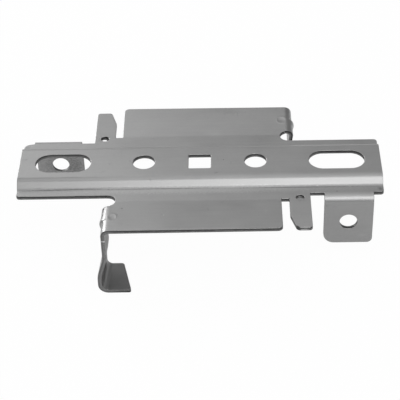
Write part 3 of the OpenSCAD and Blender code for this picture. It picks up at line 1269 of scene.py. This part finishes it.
@dataclass(frozen=True)
class PlatedSkin:
    """Zinc-plated steel as it leaves the press: a satin grey metal, a little cloudy."""

    name: str = "plated_steel"
    shade: tuple[float, float, float] = (0.33, 0.33, 0.33)
    roughness: float = 0.34
    patch_width: float = 13.0
    grain_width: float = 0.45
    cloudiness: float = 0.11
    streakiness: float = 0.05
    graininess: float = 0.05
    # how much lighter sharp edges are made: partly wear, partly a painted highlight
    wear_and_highlight_tone: float = 1.3
    rubbed_gloss: float = 0.8
    waviness: float = 0.02
    grain_height: float = 0.003
    marks: tuple[Mark, ...] = ()

    def make(self, effects: Effects) -> bpy.types.Material:
        """Builds the material.

        Args:
            effects: The shared effects.

        Returns:
            The material.
        """
        metal = Metal(self.name, effects, self.patch_width, self.grain_width)
        circuit, grain, rubbed = metal.circuit, metal.grain, metal.rubbed
        tone = circuit.sway(grain["Patches"], self.cloudiness)
        for layer, share in (("Streaks", self.streakiness), ("Grain", self.graininess)):
            tone = circuit.math("MULTIPLY", tone, circuit.sway(grain[layer], share))
        height = circuit.math("MULTIPLY", grain["Patches"], self.waviness)
        fine = circuit.math("MULTIPLY", grain["Grain"], self.grain_height)
        height = circuit.math("ADD", height, fine)
        for mark in self.marks:
            mask = metal.spot(mark, grain["Grain"])
            tone = circuit.math("MULTIPLY", tone, circuit.blend(mask, 1.0, mark.tone))
            if mark.lift:
                height = circuit.math("ADD", height, circuit.math("MULTIPLY", mask, mark.lift))
        # sharp edges made lighter: partly edge wear, partly a painted highlight
        tone = circuit.math("MULTIPLY", tone, circuit.blend(rubbed, 1.0, self.wear_and_highlight_tone))
        satin = circuit.math("MULTIPLY", circuit.sway(grain["Patches"], 0.16), self.roughness)
        satin = circuit.math("MULTIPLY", satin, circuit.sway(grain["Streaks"], 0.12))
        satin = circuit.math("MULTIPLY", satin, circuit.blend(rubbed, 1.0, self.rubbed_gloss))
        return metal.finish(circuit.scale(self.shade, tone), satin, height)


@dataclass(frozen=True)
class ShearedEdge:
    """The cut edge of the sheet: a polished burnish band above, its dark reflection painted on, and
    a torn, lighter one below.
    """

    name: str = "sheared_edge"
    # painted reflection: the polished burnish band gets a near-black colour for the dark
    # surroundings that it mirrors
    burnish_painted_reflection: float = 0.07
    torn: float = 0.2
    leg_burnished: float = 0.16
    leg_torn: float = 0.25
    legs: tuple[Mark, Mark] = (
        Mark((-36.0, -37.5, 12.0), (7, 5, 17)),
        Mark((36.0, 37.5, 12.0), (7, 5, 17)),
    )
    share: float = 0.5
    line_softness: float = 0.06
    raggedness: float = 0.22
    patch_width: float = 1.6
    grain_width: float = 0.22
    marks: tuple[Mark, ...] = ()

    def make(self, effects: Effects) -> bpy.types.Material:
        """Builds the material.

        Args:
            effects: The shared effects.

        Returns:
            The material.
        """
        metal = Metal(self.name, effects, self.patch_width, self.grain_width)
        circuit, grain = metal.circuit, metal.grain
        sway = circuit.math("SUBTRACT", grain["Patches"], 0.5)
        ragged = circuit.math("MULTIPLY", sway, self.raggedness)
        line = circuit.math("ADD", metal.stored("wall_depth"), ragged)
        torn = circuit.step(line, self.share - self.line_softness, self.share + self.line_softness)
        on_leg = circuit.math("MAXIMUM", *(metal.spot(leg) for leg in self.legs))
        # the burnish band's painted dark reflection, a little lighter on the legs
        burnish_painted_reflection = circuit.blend(on_leg, self.burnish_painted_reflection, self.leg_burnished)
        burnish_painted_reflection = circuit.math("MULTIPLY", circuit.sway(grain["Streaks"], 0.3), burnish_painted_reflection)
        fracture = circuit.blend(on_leg, self.torn, self.leg_torn)
        fracture = circuit.math("MULTIPLY", circuit.sway(grain["Grain"], 0.7), fracture)
        tone = circuit.blend(torn, burnish_painted_reflection, fracture)
        # sharp cut edges lightened towards 0.3: partly edge wear, partly a painted highlight
        tone = circuit.blend(circuit.math("MULTIPLY", metal.rubbed, 0.5), tone, 0.3)
        for mark in self.marks:
            lit = circuit.blend(metal.spot(mark), 1.0, mark.tone)
            tone = circuit.math("MULTIPLY", tone, lit)
        rough = circuit.blend(torn, 0.32, 0.6)
        height = circuit.math("MULTIPLY", circuit.math("MULTIPLY", grain["Grain"], torn), 0.03)
        height = circuit.math("ADD", height, circuit.math("MULTIPLY", torn, -0.03))
        return metal.finish(circuit.scale((1.0, 1.0, 1.0), tone), rough, height)


@dataclass(frozen=True)
class Studio:
    """A white tabletop with soft lamps, and the camera that took the picture."""

    camera_place: tuple[float, float, float] = (0.012011, -0.425373, 0.355752)
    camera_turn: tuple[float, float, float] = (-0.892733, -0.036039, -0.013693)
    lens: float = 127.758
    lamps: tuple[tuple[float, float, float, float], ...] = (
        (-48.0, 6.0, 0.22, 4.15),
        (-40.0, 12.0, 0.22, 2.9),
        (-42.0, 14.0, 0.4, 1.98),
        (0.0, 12.0, 0.32, 0.5),
        (-25.0, 38.0, 0.32, 0.92),
        (5.0, 52.0, 0.32, 0.68),
        (0.0, 88.0, 0.5, 0.8),
        (150.0, 50.0, 0.5, 1.5),
        (175.0, 48.0, 0.32, 1.05),
        (-155.0, 48.0, 0.32, 0.64),
        (165.0, 25.0, 0.32, 1.15),
    )
    lamp_distance: float = 0.7
    surround: float = 0.38
    seen_white: float = 0.97
    reflected_white: float = 0.28

    def set_camera(self) -> None:
        """Places the camera and makes it the scene's own."""
        data = bpy.data.cameras.new("camera")
        data.lens = self.lens
        data.sensor_width = 36
        data.clip_end = 20
        camera = bpy.data.objects.new("camera", data)
        bpy.context.scene.collection.objects.link(camera)
        tilt, roll, turn = self.camera_turn
        seen = Matrix.Rotation(turn, 3, "Z") @ Matrix.Rotation(tilt, 3, "X")
        seen = seen @ Matrix.Rotation(roll, 3, "Y")
        pose = seen.transposed().to_4x4()
        pose.translation = Vector(self.camera_place)
        camera.matrix_world = pose
        bpy.context.scene.camera = camera

    def lay_floor(self) -> None:
        """Lays a white tabletop that keeps the bracket's shadow."""
        bpy.ops.object.select_all(action="DESELECT")
        bpy.ops.mesh.primitive_plane_add(size=6, location=(0, 0, 0))
        floor = bpy.context.object
        floor.name = "tabletop"
        material = bpy.data.materials.new("white_tabletop")
        material.use_nodes = True
        circuit = Circuit(material.node_tree)
        shader = circuit.tree.nodes["Principled BSDF"]
        shader.inputs["Base Color"].default_value = (0.9, 0.9, 0.9, 1)
        shader.inputs["Roughness"].default_value = 0.9
        glow = circuit.node("ShaderNodeEmission", {"Strength": 1.0})
        path = circuit.node("ShaderNodeLightPath").outputs
        others = circuit.math("MAXIMUM", path["Is Glossy Ray"], path["Is Transmission Ray"])
        held = circuit.math("MULTIPLY", others, self.reflected_white)
        feeds = {0: path["Is Camera Ray"], 1: self.seen_white, 2: held}
        seen = circuit.node("ShaderNodeMath", feeds, operation="MULTIPLY_ADD")
        feeds = {0: seen.outputs[0], 1: shader.outputs[0], 2: glow.outputs[0]}
        mix = circuit.node("ShaderNodeMixShader", feeds)
        circuit.give(circuit.tree.nodes["Material Output"], {"Surface": mix.outputs[0]})
        floor.data.materials.append(material)

    def light(self) -> None:
        """Sets the white surround and the lamps."""
        world = bpy.data.worlds.new("surround")
        bpy.context.scene.world = world
        world.use_nodes = True
        back = world.node_tree.nodes["Background"]
        back.inputs["Color"].default_value = (1, 1, 1, 1)
        back.inputs["Strength"].default_value = self.surround
        bpy.context.scene.view_settings.view_transform = "Standard"
        for around, above, size, level in self.lamps:
            self.hang_lamp(math.radians(around), math.radians(above), size, level)

    def hang_lamp(self, around: float, above: float, size: float, level: float) -> None:
        """Hangs one soft square lamp that faces the bracket.

        Args:
            around: Its direction, from +Y towards +X.
            above: Its height angle.
            size: Its side in metres.
            level: How bright its face is.
        """
        data = bpy.data.lights.new("soft_lamp", "AREA")
        data.shape = "SQUARE"
        data.size = size
        data.energy = math.pi * size**2 * level
        lamp = bpy.data.objects.new("soft_lamp", data)
        bpy.context.scene.collection.objects.link(lamp)
        lamp.visible_camera = False
        level_out = math.cos(above)
        out = Vector((math.sin(around) * level_out, math.cos(around) * level_out, math.sin(above)))
        lamp.location = out * self.lamp_distance + Vector((0, 0, 0.02))
        lamp.rotation_euler = (-out).to_track_quat("-Z", "Y").to_euler()

    def build(self) -> None:
        """Builds the whole studio."""
        self.lay_floor()
        self.light()
        self.set_camera()


def main() -> None:
    """Builds the bracket and the studio round it."""
    effects = Effects()
    marks = SheetMarks()
    skin = PlatedSkin(marks=marks.all()).make(effects)
    edge = ShearedEdge(marks=marks.cut).make(effects)
    inside = PlatedSkin(
        name="plated_inside",
        shade=(0.36, 0.36, 0.36),
        roughness=0.4,
        cloudiness=0.2,
        # the inner faces' sharp edges are made 1.9 times lighter, more than the outer skin's: partly
        # wear, partly a painted highlight
        wear_and_highlight_tone=1.9,
        # the inner marks are painted shade on an ear's and a leg's inner faces
        marks=marks.inner,
    )
    bracket = FoldedBracket().build([skin, edge, inside.make(effects)])
    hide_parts("bracket")
    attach(bracket, "root")
    log.info("bracket: %d faces", len(bracket.data.polygons))
    Studio().build()


if __name__ == "__main__":
    main()
